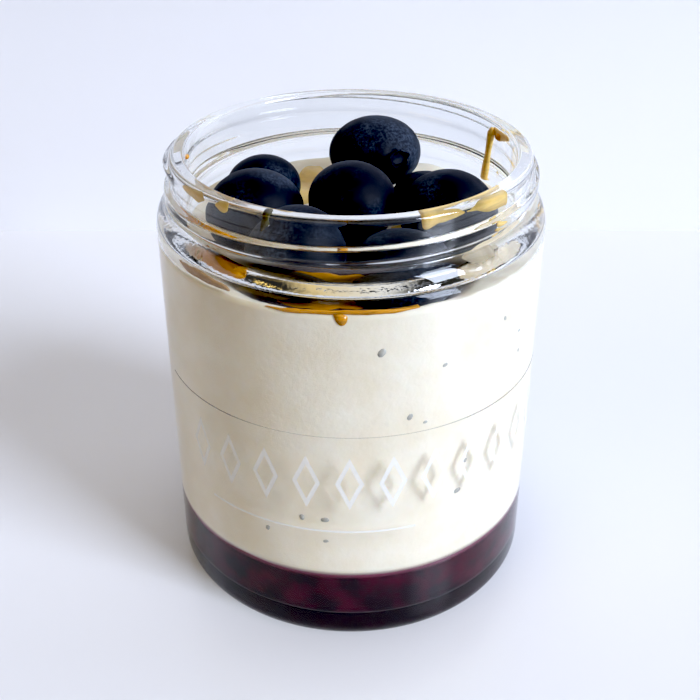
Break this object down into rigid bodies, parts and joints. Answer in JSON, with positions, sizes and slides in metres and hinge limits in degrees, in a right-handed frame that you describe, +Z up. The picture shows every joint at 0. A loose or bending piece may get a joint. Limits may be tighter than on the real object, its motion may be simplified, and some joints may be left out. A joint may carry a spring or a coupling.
{
  "type": "jar of chia pudding",
  "caption": "Open screw-top glass jar filled with a fruit puree layer, pale chia pudding and blueberries on top.",
  "frame": {"origin": "middle of the ring that the jar rests on, at the bottom of the box round the object", "axes": "+Z up along the jar's axis, -Y towards the front, +X to the right seen from the front"},
  "size_m": [0.073, 0.073, 0.0886],
  "materials": {
    "glass": "clear, smooth, gloss",
    "puree": "dark purple fruit puree, moist",
    "pudding": "off-white cream with scattered grey seeds",
    "berry_skin": "near-black blue skin with a pale bloom"
  },
  "bodies": {
    "root": {"jar": "glass", "fruit_puree": "puree", "pudding": "pudding", "berry_1": "berry_skin", "berry_2": "berry_skin", "berry_3": "berry_skin", "berry_4": "berry_skin", "berry_5": "berry_skin", "berry_6": "berry_skin", "berry_7": "berry_skin", "berry_8": "berry_skin"}
  },
  "joints": []
}
